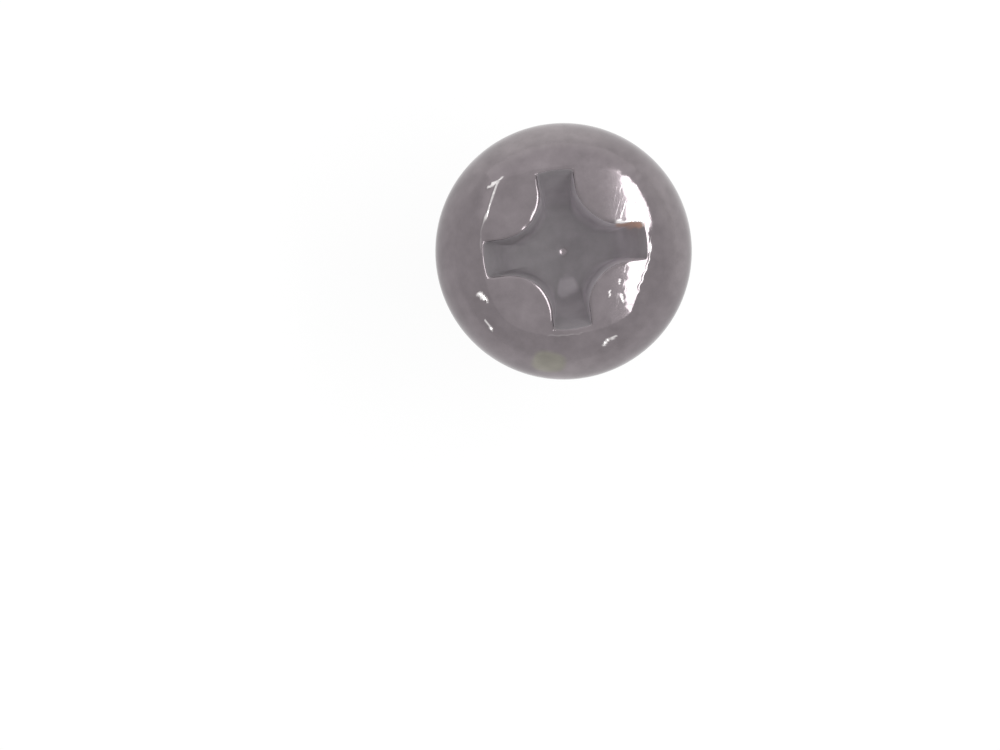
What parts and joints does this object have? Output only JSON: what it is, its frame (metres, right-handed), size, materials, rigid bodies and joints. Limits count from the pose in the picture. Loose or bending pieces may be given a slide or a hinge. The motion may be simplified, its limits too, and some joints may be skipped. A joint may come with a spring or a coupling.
{
  "type": "pan head machine screw",
  "caption": "Small dark metal pan head machine screw with a cross recess in its domed head, a short plain neck and a right-hand threaded shank that ends in a flat chamfered tip.",
  "frame": {"origin": "centre of the flat bearing face under the head, on the screw's axis", "axes": "+Z along the screw's axis, out through the head; X and Y along the wings of the cross recess"},
  "size_m": [0.0054, 0.0054, 0.0079],
  "materials": {
    "dark_plated_steel": "satin"
  },
  "bodies": {
    "root": {"screw": "dark_plated_steel"}
  },
  "joints": []
}
